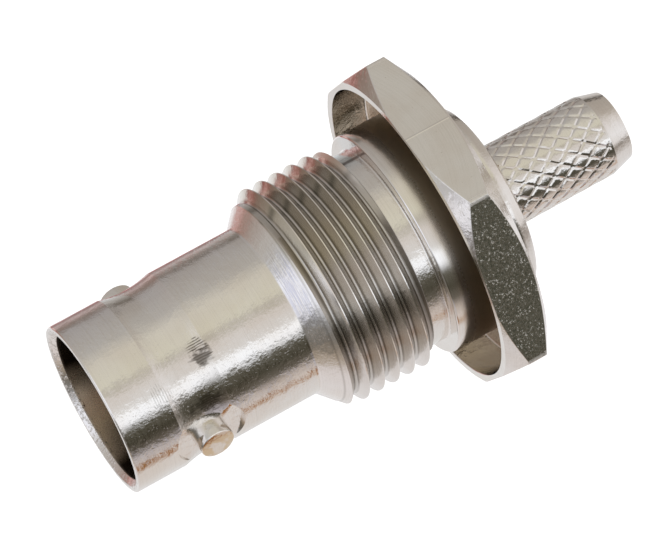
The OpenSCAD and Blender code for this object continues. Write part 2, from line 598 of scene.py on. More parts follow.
@dataclass(frozen=True, kw_only=True)
class ShellNickel(TurnedNickel):
    """The shell's plate, with its worn and dull zones and its zones of painted shade and
    reflection.

    Attributes:
        sizes: Where the finish changes.
        scuffs: Patches of scratches.
        flare_light: First and last turn of the flare's highlight, where shade is painted between
            its strokes.
        thread_mark: First and last turn of the painted shade just under the thread's crests.
        neck_pale: First and last turn of the neck's painted pale reflection.
        neck_line: First and last turn of the painted dark reflected line in it.
        smooth_flats: First and last turn of the hexagon's smooth flats.
        dull_flat: First and last turn of its coarse lower flat, which is painted darker as shade.
        scratched: First and last turn of a scratch along a smooth flat.
        far_turn: Turn of the middle of the socket's wall that shows most, where its painted shade
            is lightest.
    """

    sizes: Sizes
    scuffs: tuple[Scuff, ...]
    flare_light: tuple[float, float] = (-84, -44)
    thread_mark: tuple[float, float] = (-107, -102)
    neck_pale: tuple[float, float] = (-146, -112)
    neck_line: tuple[float, float] = (-120, -117)
    smooth_flats: tuple[float, float] = (-120, -57)
    dull_flat: tuple[float, float] = (-56, 2)
    scratched: tuple[float, float] = (-87.1, -86.9)
    far_turn: float = 123

    def zones(self, surface: Surface) -> None:
        """Change the finish in the shell's zones, each over the ones before it.

        Args:
            surface: The finish so far.
        """
        self.thread_zone(surface)
        self.neck_zone(surface)
        self.hexagon_zone(surface)
        self.recess_zone(surface)
        self.socket_zone(surface)
        self.flare_zone(surface)
        self.lug_zone(surface)
        for scuff in self.scuffs:
            surface.tint(scuff.mask(surface.place), StainAndShade.SCUFF)

    def thread_zone(self, surface: Surface) -> None:
        """Paint shade onto the thread's roots, its rear flanks and run-out, its upper front flanks
        and just under its crests, and dull its flanks.

        Args:
            surface: The finish so far.
        """
        place, root_r = surface.place, self.sizes.root
        thread = place.axial.window(*self.sizes.thread, 0.05)
        # Painted shade on the mouth-facing flanks of the thread's upper side.
        far_flank_shade = thread * place.level.step(-0.35, -0.6) * place.azimuth.step(-56, -72)
        surface.tint(far_flank_shade * 0.85, StainAndShade.FLANK)
        # Painted shade in the thread's roots and on its stem-facing flanks and run-out.
        root = place.radius.step(root_r + 0.11, root_r + 0.02)
        rear = place.level.step(0.1, 0.4)
        surface.tint(thread * (root * 0.35 + rear * 0.45).clamped(), StainAndShade.THREAD_ROOT)
        under_crest = thread * place.radius.step(root_r + 0.52, root_r + 0.46)
        surface.calm(thread, 0.02, 0.4)
        surface.calm(under_crest * place.azimuth.step(-112, -100), 0.12)
        # Painted shade on the mouth-facing surface just under the crests, in a narrow band of
        # turns.
        marks = under_crest * place.azimuth.window(*self.thread_mark, 2.5)
        surface.tint(marks * place.level.step(-0.2, -0.6) * 0.55, StainAndShade.THREAD_MARK)

    def neck_zone(self, surface: Surface) -> None:
        """Dull the thread's run-out, and paint a pale reflection on the neck with a dark reflected
        line in it.

        Args:
            surface: The finish so far.
        """
        place, end = surface.place, self.sizes.thread[1]
        surface.calm(place.axial.window(end - 0.4, end + 0.03, 0.05), 0.22)
        neck = place.axial.window(end, -self.sizes.spigot[0], 0.03)
        # The neck's upper side gets a painted pale reflection, with a painted dark line in it.
        neck = neck * place.azimuth.window(*self.neck_pale, 8)
        surface.tint(neck * 0.7, StainAndShade.NECK)
        surface.tint(neck * place.azimuth.window(*self.neck_line, 0.6) * 0.7, StainAndShade.NECK_LINE)

    def hexagon_zone(self, surface: Surface) -> None:
        """Etch the hexagon's flats, paint shade onto its lower flat and wear its corners.

        Args:
            surface: The finish so far.
        """
        place = surface.place
        length, half = self.sizes.hexagon
        side = place.level.maths("ABSOLUTE").step(0.3, 0.1)
        side = side * place.radius.step(half - 0.1, half - 0.02)
        side = side * place.axial.window(0.0, length, 0.05)
        frost = place.noise(7.0, 3.0, 0.75)
        sparse = place.noise(1.6).step(0.36, 0.62) * 0.06
        flecks = (frost + sparse).step(0.66, 0.78)
        coarse = 1.0 - place.azimuth.window(*self.smooth_flats, 2) * 0.98
        etch = (flecks * 0.03 + frost * 0.018) * coarse
        scratch = place.azimuth.window(*self.scratched, 0.35) * 0.02
        surface.calm(side, 0.05, 0.95)
        surface.raise_by((etch + scratch) * side)
        surface.tint(side * coarse * frost.step(0.50, 0.36) * 0.3, StainAndShade.FROST)
        # Painted shade on the hexagon's lower flat, darkest in the low spots of its frost.
        flat_shade = side * place.azimuth.window(*self.dull_flat, 2)
        surface.tint(flat_shade * frost.step(0.52, 0.38) * 0.5, StainAndShade.DARK_FROST)
        surface.tint(flat_shade * 0.4, StainAndShade.DULL_FLAT)
        corner_r = half / math.cos(math.pi / 6)
        worn = place.radius.step(corner_r - 0.14, corner_r - 0.06) * place.axial.step(-0.1, 0.0)
        surface.calm(worn, 0.35)

    def recess_zone(self, surface: Surface) -> None:
        """Dull the spigot, and paint shade onto its deep part and onto the recess floor behind it.

        Args:
            surface: The finish so far.
        """
        place = surface.place
        reach, spigot_r = self.sizes.spigot
        depth, recess_r = self.sizes.recess
        spigot = place.axial.step(-reach - 0.05, -reach + 0.05)
        spigot = spigot * place.axial.step(depth + 0.3, depth + 0.2)
        spigot = spigot * place.radius.step(spigot_r + 0.1, spigot_r + 0.02)
        spigot = spigot * place.radius.step(spigot_r - 0.8, spigot_r - 0.6)
        deep = spigot * place.axial.step(-1.1, 0.1)
        surface.calm(spigot, 0.02, 0.85)
        surface.calm(deep, 0.22)
        # Painted shade on the spigot's deep part, darker towards the recess.
        surface.tint(deep * 0.7, StainAndShade.SPIGOT)
        floor = place.axial.window(depth - 0.1, depth + 0.2, 0.05)
        floor = floor * place.radius.step(recess_r, recess_r - 0.1)
        floor = floor * place.radius.step(spigot_r, spigot_r + 0.1)
        # Painted shade on the recess floor.
        surface.tint(floor * 0.7, StainAndShade.RECESS)

    def socket_zone(self, surface: Surface) -> None:
        """Dull the socket's wall, paint shade into it that is darkest at its sides, and nick the
        rim's bevel.

        Args:
            surface: The finish so far.
        """
        place, hollow = surface.place, self.sizes.hollow
        inside = place.radius.step(hollow + 0.16, hollow + 0.12)
        # Painted shade inside the socket, darkest at the sides of the wall that shows.
        surface.tint(inside, StainAndShade.SOCKET)
        sideways = ((place.azimuth - self.far_turn) * (math.pi / 180)).maths("SINE")
        sides = sideways.step(0.48, 0.68) + sideways.step(-0.60, -0.80)
        surface.tint(inside * sides, StainAndShade.SOCKET_SIDE)
        surface.calm(inside, 0.2, 0.9)
        rim = place.axial.step(self.sizes.mouth + 0.5, self.sizes.mouth + 0.3)
        rim = rim * place.radius.step(hollow + 0.6, hollow + 0.5)
        surface.calm(rim, 0.12, 0.5)
        surface.raise_by(rim * place.noise(5.0, 3.0, 0.7).step(0.5, 0.7) * 0.02)

    def flare_zone(self, surface: Surface) -> None:
        """Stroke the flare with turning marks, and paint shade between them in its highlight, so
        the highlight shows in streaks.

        Args:
            surface: The finish so far.
        """
        place = surface.place
        flare = place.axial.window(*self.sizes.flare, 0.1) * place.level.step(-0.2, -0.5)
        strokes = place.turned(9.0, 0.6, 3.0, 0.75)
        surface.raise_by(strokes * flare * 0.02)
        # Painted shade between the strokes, only where the flare's highlight falls.
        dim = strokes.step(0.56, 0.46) * place.azimuth.window(*self.flare_light, 12)
        surface.tint(flare * dim * 0.8, StainAndShade.FLARE)

    def lug_zone(self, surface: Surface) -> None:
        """Stain the lugs' ends, which stand out of the barrel in front of the flare.

        Args:
            surface: The finish so far.
        """
        place, end = surface.place, self.sizes.lug_end
        start = self.sizes.flare[0]
        lug = place.across.maths("ABSOLUTE").step(end - 0.08, end - 0.03)
        lug = lug * place.axial.step(start, start - 0.5)
        cloud = place.noise(1.6).step(0.40, 0.60)
        surface.tint(lug * (cloud * 0.6 + 0.15), StainAndShade.LUG_END)


@dataclass(frozen=True, kw_only=True)
class Gold(Finish):
    """Thin polished gold plate over a turned contact.

    Attributes:
        roughness: Roughness of the plate between its turning marks.
        rings: Height of the turning rings, in millimetres.
    """

    name: str = "gold_plate"
    roughness: float = 0.13
    rings: float = 0.002

    def sockets(self, graph: Graph, place: Place) -> dict[str, object]:
        """Work out the shader's inputs.

        Args:
            graph: The material's graph.
            place: The surface point's place.

        Returns:
            Values and signals for the shader's sockets.
        """
        turning = place.turned(22.0, 0.4, 3.0, 0.6)
        wear = place.noise(4.0, 3.0).step(0.35, 0.75)
        return {
            "Base Color": graph.mix(wear, Coat.GOLD.value, Coat.THIN_GOLD.value),
            "Metallic": 1.0,
            "Roughness": turning * 0.14 + self.roughness,
            "Normal": graph.bump(turning * self.rings, 0.6),
        }


@dataclass(frozen=True, kw_only=True)
class Fluoropolymer(Finish):
    """White waxy insulator with faint turning rings.

    Attributes:
        roughness: Roughness between its turning marks.
        rings: Height of the turning rings, in millimetres.
    """

    name: str = "white_insulator"
    roughness: float = 0.32
    rings: float = 0.006

    def sockets(self, graph: Graph, place: Place) -> dict[str, object]:
        """Work out the shader's inputs.

        Args:
            graph: The material's graph.
            place: The surface point's place.

        Returns:
            Values and signals for the shader's sockets.
        """
        turning = place.turned(14.0, 0.3, 3.0, 0.6)
        cloud = place.noise(1.3, 3.0)
        return {
            "Base Color": graph.mix(cloud, Coat.WHITE.value, Coat.GREY_WHITE.value),
            "Roughness": turning * 0.2 + self.roughness,
            "Subsurface Weight": 0.15,
            "Subsurface Scale": 0.3 * MM,
            "Normal": graph.bump(turning * self.rings, 0.5),
        }


@dataclass(frozen=True, kw_only=True)
class PaleFloor(Finish):
    """Plain white sweep, softly lit from within so that it stays clean.

    Attributes:
        grey: Its darker tone, in linear light.
        pale: Its lighter tone, in linear light.
        glow: How much light it gives by itself.
    """

    name: str = "pale_floor"
    grey: float = 0.86
    pale: float = 0.89
    glow: float = 0.55

    def sockets(self, graph: Graph, place: Place) -> dict[str, object]:
        """Work out the shader's inputs.

        Args:
            graph: The material's graph.
            place: The surface point's place.

        Returns:
            Values and signals for the shader's sockets.
        """
        return {
            "Base Color": graph.mix(place.noise(0.02), (self.grey,) * 3, (self.pale,) * 3),
            "Roughness": 0.9,
            "Emission Color": (1.0, 1.0, 1.0, 1.0),
            "Emission Strength": self.glow,
        }


# ---------------------------------------------------------------- turned outlines


@dataclass(frozen=True)
class Corner:
    """A corner of a turned outline.

    Attributes:
        y: Station along the axis.
        r: Radius.
        blend: Radius of the round at this corner, or 0 for a plain point.
    """

    y: float
    r: float
    blend: float = 0.0


def rounded(corners: Sequence[Corner], steps: int = 4, guard: float = 0.03 * MM) -> list[Node2]:
    """Round an outline's corners and hold each round with a point just beside it.

    Args:
        corners: The outline, in order.
        steps: Segments in each round.
        guard: Distance from a round to the point that holds it.

    Returns:
        Stations and radii of the outline's points.
    """
    points: list[Node2] = []
    for i, corner in enumerate(corners):
        if corner.blend <= 0 or i in (0, len(corners) - 1):
            points.append((corner.y, corner.r))
            continue
        here = Vector((corner.y, corner.r))
        back = Vector((corners[i - 1].y, corners[i - 1].r)) - here
        ahead = Vector((corners[i + 1].y, corners[i + 1].r)) - here
        room = min(back.length, ahead.length) * 0.45
        half = back.angle(ahead) / 2
        reach = min(corner.blend / math.tan(half), room)
        blend = reach * math.tan(half)
        back.normalize()
        ahead.normalize()
        centre = here + (back + ahead).normalized() * (blend / math.sin(half))
        first = here + back * reach
        last = here + ahead * reach
        hold = min(guard, room * 0.1)
        points.append(tuple(first + back * hold))
        start = first - centre
        turn = start.angle_signed(last - centre)
        for k in range(steps + 1):
            angle = turn * k / steps
            cos, sin = math.cos(angle), math.sin(angle)
            along = centre.x + start.x * cos + start.y * sin
            points.append((along, centre.y - start.x * sin + start.y * cos))
        points.append(tuple(last + ahead * hold))
    return points


def around(y: float, r: float, angle: float) -> Point:
    """Place a point round the axis.

    Args:
        y: Station along the axis.
        r: Radius.
        angle: Turn from the first lug about +Y, in radians.

    Returns:
        The point.
    """
    return (r * math.cos(angle), y, -r * math.sin(angle))


class Skin:
    """A mesh that grows ring by ring. Points that coincide are kept as one."""

    def __init__(self, angles: Sequence[float], grain: float = 0.0001 * MM) -> None:
        """Start an empty skin.

        Args:
            angles: Turn of each column about the axis, in radians.
            grain: How near two points count as one.
        """
        self.angles = list(angles)
        self.grain = grain
        self.points: list[Point] = []
        self.faces: list[tuple[int, ...]] = []
        self.known: dict[tuple[int, ...], int] = {}

    def point(self, spot: Point) -> int:
        """Add a point, or find the one that is there already.

        Args:
            spot: The point's place.

        Returns:
            The point's number.
        """
        key = tuple(round(v / self.grain) for v in spot)
        if key not in self.known:
            self.known[key] = len(self.points)
            self.points.append(spot)
        return self.known[key]

    def face(self, *corners: int) -> None:
        """Add a face, unless its corners fall together.

        Args:
            corners: The corners' point numbers, in order.
        """
        kept = [c for c, last in zip(corners, (corners[-1], *corners)) if c != last]
        if len(kept) > 2:
            self.faces.append(tuple(kept))

    def ring(self, spots: Sequence[Node2]) -> list[int]:
        """Add a ring from the station and radius in each column, and give its point numbers."""
        return [self.point(around(y, r, a)) for (y, r), a in zip(spots, self.angles)]

    def join(self, lower: Sequence[int], upper: Sequence[int]) -> None:
        """Add a band of quads between two rings.

        Args:
            lower: Point numbers of the first ring.
            upper: Point numbers of the second ring.
        """
        count = len(lower)
        for i in range(count):
            k = (i + 1) % count
            self.face(lower[i], lower[k], upper[k], upper[i])

    def sweep(self, outline: Callable[[float], Sequence[Node2]] | Sequence[Node2]) -> None:
        """Add all the bands of an outline.

        Args:
            outline: Points of the outline, or a function from the turn to them.
        """
        if callable(outline):
            columns = [outline(a) for a in self.angles]
        else:
            columns = [outline] * len(self.angles)
        rings = [self.ring([c[k] for c in columns]) for k in range(len(columns[0]))]
        for lower, upper in zip(rings, rings[1:]):
            self.join(lower, upper)

    def finish(self, name: str, sharp: float = 32.0) -> bpy.types.Object:
        """Make the skin an object.

        Args:
            name: The object's name.
            sharp: Angle above which an edge shows as sharp, in degrees.

        Returns:
            The object.
        """
        piece = mesh_object(name, self.points, self.faces)
        face_out(piece)
        smooth(piece, sharp)
        return piece


def scene_object(name: str, data: bpy.types.ID) -> bpy.types.Object:
    """Add an object to the scene.

    Args:
        name: The object's name.
        data: Its mesh or camera.

    Returns:
        The object.
    """
    made = bpy.data.objects.new(name, data)
    bpy.context.scene.collection.objects.link(made)
    return made


def mesh_object(
    name: str, points: Sequence[Point], faces: Sequence[Sequence[int]]
) -> bpy.types.Object:
    """Add a mesh to the scene.

    Args:
        name: The object's name.
        points: Its points.
        faces: The point numbers of its faces.

    Returns:
        The object.
    """
    mesh = bpy.data.meshes.new(name)
    mesh.from_pydata(points, [], faces)
    return scene_object(name, mesh)


def face_out(piece: bpy.types.Object) -> None:
    """Turn all faces of a closed mesh outwards, and warn if it isn't closed.

    Args:
        piece: The mesh object.
    """
    work = bmesh.new()
    work.from_mesh(piece.data)
    bmesh.ops.recalc_face_normals(work, faces=work.faces)
    open_edges = sum(1 for e in work.edges if not e.is_manifold)
    if open_edges:
        log.warning("%s has %d open edges", piece.name, open_edges)
    work.to_mesh(piece.data)
    work.free()


def smooth(piece: bpy.types.Object, sharp: float) -> None:
    """Shade a mesh smooth and keep its real edges sharp.

    Args:
        piece: The mesh object.
        sharp: Angle above which an edge is sharp, in degrees.
    """
    for polygon in piece.data.polygons:
        polygon.use_smooth = True
    piece.data.set_sharp_from_angle(angle=math.radians(sharp))


class Cut(Enum):
    """What a solid does to another."""

    REMOVE = "DIFFERENCE"
    ADD = "UNION"


def combine(piece: bpy.types.Object, other: bpy.types.Object, cut: Cut) -> None:
    """Cut a solid from a piece, or add it.

    Args:
        piece: The mesh that stays.
        other: The solid that is used up.
        cut: Whether it is cut away or added.
    """
    modifier = piece.modifiers.new(cut.name, "BOOLEAN")
    modifier.operation = cut.value
    modifier.solver = "MANIFOLD"
    modifier.object = other
    bpy.context.view_layer.update()
    evaluated = piece.evaluated_get(bpy.context.evaluated_depsgraph_get())
    mesh = bpy.data.meshes.new_from_object(evaluated)
    piece.modifiers.clear()
    old, name = piece.data, piece.data.name
    piece.data = mesh
    bpy.data.meshes.remove(old)
    mesh.name = name
    bpy.data.objects.remove(other)


def cross_bars(name: str, outline: Sequence[Node2], sides: int = 72) -> bpy.types.Object:
    """Turn an outline about X, once for each lug.

    Args:
        name: The object's name.
        outline: Distance from the axis and radius of the outline's points.
        sides: Segments round each bar.

    Returns:
        One object with a closed solid at each lug.
    """
    points: list[Point] = []
    faces: list[tuple[int, ...]] = []
    for side in (1.0, -1.0):
        rings = []
        for reach, radius in outline:
            first = len(points)
            for k in range(sides):
                turn = 2 * math.pi * k / sides
                up = side * radius * math.sin(turn)
                points.append((side * reach, radius * math.cos(turn), up))
            rings.append(range(first, len(points)))
        for lower, upper in zip(rings, rings[1:]):
            for k in range(sides):
                n = (k + 1) % sides
                faces.append((lower[k], lower[n], upper[n], upper[k]))
        faces.append(tuple(reversed(rings[0])))
        faces.append(tuple(rings[-1]))
    bars = mesh_object(name, points, faces)
    face_out(bars)
    return bars


# ---------------------------------------------------------------- the jack's pieces


@dataclass
class Shell:
    """The turned shell: barrel, lugs, thread, spigot, recessed hexagon and rolled collar."""

    mouth: float
    collar_end: float
    thread_mid: float
    thread_length: float
    thread_r: float
    spigot_r: float
    lug_end: float
    barrel_r: float = 4.825 * MM
    barrel_length: float = 10.8 * MM
    flare_length: float = 0.85 * MM
    thread_lead: float = 0.6 * MM
    rim_round: float = 0.09 * MM
    mouth_r: float = 4.475 * MM
    mouth_bevel: float = 0.3 * MM
    lead_r: float = 4.2 * MM
    lead_depth: float = 1.6 * MM
    bore_r: float = 4.065 * MM
    bore_depth: float = 8.4 * MM
    ledge: float = 0.8 * MM
    nose_hole_r: float = 2.5 * MM
    seat_bore_r: float = 3.21 * MM
    lug_reach: float = 4.4 * MM
    lug_r: float = 0.95 * MM
    lug_bevel: float = 0.09 * MM
    lug_dome: float = 0.03 * MM
    waist: float = 3.0 * MM
    waist_depth: float = 0.2 * MM
    mill_r: float = 1.975 * MM
    mill_depth: float = 0.24 * MM
    pitch: float = 0.907 * MM
    thread_depth: float = 0.55 * MM
    thread_phase: float = -6.13 * MM
    crest_half: float = 0.028 * MM
    beside: float = 0.02 * MM
    run_out: float = 0.59 * MM
    run_out_slope: float = 2.5
    neck_r: float = 5.575 * MM
    spigot_reach: float = 1.3 * MM
    recess_r: float = 8.445 * MM
    recess_depth: float = 2.1 * MM
    seat_r: float = 8.875 * MM
    half_flats: float = 8.725 * MM
    hexagon_length: float = 2.78 * MM
    rear_r: float = 8.455 * MM
    edge_break: float = 0.03 * MM
    bevel_slope: float = math.tan(math.radians(32))
    hexagon_turn: float = math.radians(3)
    corner_round: float = 0.12 * MM
    collar_r: float = 5.45 * MM
    collar_round: float = 0.8 * MM
    lip: float = 0.7 * MM
    lip_r: float = 3.7 * MM
    pocket_r: float = 4.61 * MM
    pocket_length: float = 1.5 * MM
    columns: int = 240

    def angles(self) -> list[float]:
        """List the columns' turns, with extra ones beside each corner of the hexagon.

        Returns:
            Turns in rising order, in radians.
        """
        pitch = 360 / self.columns
        turns = [k * pitch for k in range(self.columns)]
        beside = (0.17, 0.34, 0.7)
        for corner in range(0, 360, 60):
            turns += [corner + side * b for b in beside for side in (1, -1)]
        return [math.radians(t) + self.hexagon_turn for t in sorted(t % 360 for t in turns)]

    def hexagon_radius(self, angle: float) -> float:
        """Give the distance from the axis to the hexagon's side.

        Args:
            angle: Turn about the axis, in radians.

        Returns:
            The radius, rounded at the corners.
        """
        sixth = math.pi / 3
        from_corner = (angle - self.hexagon_turn + sixth / 2) % sixth - sixth / 2
        flat = self.half_flats / math.cos(sixth / 2 - abs(from_corner))
        apex = self.half_flats / math.cos(sixth / 2)
        centre = apex - self.corner_round / math.cos(sixth / 2)
        offset = centre * math.sin(from_corner)
        if abs(offset) >= self.corner_round / 2:
            return flat
        return centre * math.cos(from_corner) + math.sqrt(self.corner_round**2 - offset**2)

    def waist_outline(self) -> list[Corner]:
        """Give the shallow milled waist between the lugs.

        Returns:
            Points along the hollow, from its rear edge to its front edge.
        """
        middle = self.mouth + self.lug_reach
        half = self.waist / 2
        sweep = (half**2 + self.waist_depth**2) / (2 * self.waist_depth)
        floor = self.barrel_r - self.waist_depth
        steps = 14
        points = []
        for k in range(steps + 1):
            y = half - 2 * half * k / steps
            points.append(Corner(middle + y, floor + sweep - math.sqrt(sweep**2 - y**2)))
        rear, front = (Corner(middle + s * half, self.barrel_r, 0.02 * MM) for s in (1, -1))
        return [rear, *points[1:-1], front]

    def outline(self, angle: float) -> list[Node2]:
        """Follow the shell's section from the thread's rear end, round to its front end.

        Args:
            angle: Turn about the axis, in radians.

        Returns:
            The section's points at that turn.
        """
        side = self.hexagon_radius(angle)
        fine = 0.05 * MM
        seat = min(self.seat_r, side - self.edge_break)
        rear_r = min(self.rear_r, side - self.edge_break)
        front_side = (side - seat) * self.bevel_slope
        rear_side = self.hexagon_length - (side - rear_r) * self.bevel_slope
        lip_front = self.collar_end - self.lip
        pocket_front = lip_front - self.pocket_length
        floor = self.mouth + self.bore_depth
        root = self.thread_r - self.thread_depth
        rise = (root - self.barrel_r) / self.flare_length
        rear = [
            Corner(self.thread_rear, self.neck_r),
            Corner(self.thread_rear + self.beside, self.neck_r),
            Corner(-self.spigot_reach, self.neck_r, 0.1 * MM),
            Corner(-self.spigot_reach, self.spigot_r, 0.1 * MM),
            Corner(self.recess_depth, self.spigot_r, 0.12 * MM),
            Corner(self.recess_depth, self.recess_r, 0.12 * MM),
            Corner(0.0, self.recess_r, 0.04 * MM),
            Corner(0.0, seat, 0.04 * MM),
            Corner(front_side, side, 0.08 * MM),
            Corner(rear_side, side, fine),
            Corner(self.hexagon_length, rear_r, fine),
            Corner(self.hexagon_length, self.collar_r, 0.08 * MM),
            Corner(self.collar_end, self.collar_r, self.collar_round),
            Corner(self.collar_end, self.lip_r, 0.12 * MM),
            Corner(lip_front, self.lip_r, fine),
            Corner(lip_front, self.pocket_r, fine),
            Corner(pocket_front, self.pocket_r, fine),
            Corner(pocket_front, self.seat_bore_r, fine),
            Corner(floor + self.ledge, self.seat_bore_r, fine),
            Corner(floor + self.ledge, self.nose_hole_r, fine),
            Corner(floor, self.nose_hole_r, fine),
            Corner(floor, self.bore_r, 0.1 * MM),
        ]
        front = [
            Corner(self.mouth + self.lead_depth, self.bore_r, 0.2 * MM),
            Corner(self.mouth + self.mouth_bevel, self.lead_r, fine),
            Corner(self.mouth, self.mouth_r, 0.03 * MM),
            Corner(self.mouth, self.barrel_r, self.rim_round),
            *reversed(self.waist_outline()),
            Corner(self.mouth + self.barrel_length, self.barrel_r, 0.25 * MM),
            Corner(self.thread_front - self.beside, root - rise * self.beside),
            Corner(self.thread_front, root),
        ]
        return rounded(rear + front, 5)

    @property
    def thread_front(self) -> float:
        """Where the flare ends and the thread's lead begins."""
        return self.mouth + self.barrel_length + self.flare_length

    @property
    def thread_rear(self) -> float:
        """Where the thread's run-out meets the neck."""
        return self.thread_mid + self.thread_length / 2 + self.run_out

    @property
    def thread_run(self) -> float:
        """Length of a thread flank along the axis, for a 60 degree thread."""
        return self.thread_depth * math.tan(math.radians(30))

    @property
    def thread_root(self) -> float:
        """Half the width of the round at the thread's root."""
        return self.pitch / 2 - self.crest_half - self.thread_run

    def thread_radius(self, y: float, phase: float) -> float:
        """Give the thread's radius under its end cones.

        Args:
            y: Station along the axis.
            phase: Distance from a root's middle along the axis, from 0 to the pitch.

        Returns:
            The radius.
        """
        from_root = min(phase, self.pitch - phase)
        rise = (from_root - self.thread_root) / self.thread_run
        bend = self.thread_root / math.sin(math.radians(60))
        across = min(from_root, self.thread_root)
        near_end = min(y - self.thread_front, self.thread_rear - y) / self.pitch
        sag = (math.sqrt(bend**2 - across**2) - bend / 2) * min(1.0, max(0.0, near_end * 3))
        vee = self.thread_r - self.thread_depth * (1 - min(1.0, max(0.0, rise))) - sag
        lead = (self.thread_depth / self.thread_lead) * (y - self.thread_front)
        front = self.thread_r - self.thread_depth + lead
        rear = self.neck_r + (self.thread_rear - y) * self.run_out_slope
        return min(vee, front, rear)

    def add_thread(self, skin: Skin) -> None:
        """Add the helical band between the flare and the neck.

        Args:
            skin: The skin that it joins.
        """
        soft = self.crest_half * 0.4
        crest = self.thread_root + self.thread_run
        marks = [self.thread_root * k / 3 for k in range(4)]
        marks += [crest - soft, crest, crest + soft, self.pitch / 2]
        marks += [self.pitch - m for m in reversed(marks[1:-1])]
        low, high = self.thread_front, self.thread_rear
        start = math.floor((low - self.thread_phase) / self.pitch) - 2
        stop = math.ceil((high - self.thread_phase) / self.pitch) + 1
        last_turn = math.radians(33)
        rows = [(turn, mark) for turn in range(start, stop + 1) for mark in marks]
        grid: list[list[int]] = []
        for turn, mark in rows:
            spots = []
            for angle in skin.angles:
                lift = self.pitch * (angle - last_turn) / (2 * math.pi)
                y = self.thread_phase + turn * self.pitch + mark + lift
                y = min(high, max(low, y))
                spots.append((y, self.thread_radius(y, mark)))
            grid.append(skin.ring(spots))
        per_turn = len(marks)
        for k in range(len(rows) - 1):
            for i in range(len(skin.angles) - 1):
                skin.face(grid[k][i], grid[k][i + 1], grid[k + 1][i + 1], grid[k + 1][i])
        for k in range(per_turn, len(rows) - 1):
            behind, ahead = grid[k - per_turn][-1], grid[k + 1 - per_turn][-1]
            skin.face(behind, grid[k][0], grid[k + 1][0], ahead)

    def lug_outline(self, base: float) -> list[Node2]:
        """Give a lug's outline, bevelled and slightly domed at its end.

        Args:
            base: Distance of its foot from the jack's axis.

        Returns:
            Distance from the jack's axis and radius of the outline's points.
        """
        bevel = self.lug_bevel
        edge = self.lug_end - self.lug_dome
        end_r = self.lug_r - bevel
        return [
            (base, self.lug_r),
            (edge - bevel, self.lug_r),
            (edge - bevel * 0.45, self.lug_r - bevel * 0.12),
            (edge - bevel * 0.12, self.lug_r - bevel * 0.45),
            (edge, end_r),
            *((edge + self.lug_dome * (1 - f * f), end_r * f) for f in (0.85, 0.65, 0.4, 0.1)),
        ]

    def build(self) -> bpy.types.Object:
        """Build the shell with its thread, milled rings and lugs.

        Returns:
            The finished object.
        """
        skin = Skin(self.angles())
        skin.sweep(self.outline)
        self.add_thread(skin)
        shell = skin.finish("shell_turned")
        flat = self.barrel_r - self.mill_depth
        ring = [(flat, self.mill_r), (self.lug_end + 2 * MM, self.mill_r)]
        rings = cross_bars("mill_rings", ring, 120)
        lugs = cross_bars("lugs", self.lug_outline(flat - 0.2 * MM))
        for bars, cut in ((rings, Cut.REMOVE), (lugs, Cut.ADD)):
            bars.data.transform(Matrix.Translation((0, self.mouth + self.lug_reach, 0)))
            combine(shell, bars, cut)
        smooth(shell, 32)
        return shell

    def sizes(self) -> Sizes:
        """List where the shell's finish changes.

        Returns:
            The places, in millimetres.
        """
        front = self.thread_front / MM
        return Sizes(
            mouth=self.mouth / MM,
            flare=(front - self.flare_length / MM, front),
            thread=(front, self.thread_rear / MM),
            root=(self.thread_r - self.thread_depth) / MM,
            hexagon=(self.hexagon_length / MM, self.half_flats / MM),
            spigot=(self.spigot_reach / MM, self.spigot_r / MM),
            recess=(self.recess_depth / MM, self.recess_r / MM),
            hollow=self.bore_r / MM,
            lug_end=self.lug_end / MM,
        )


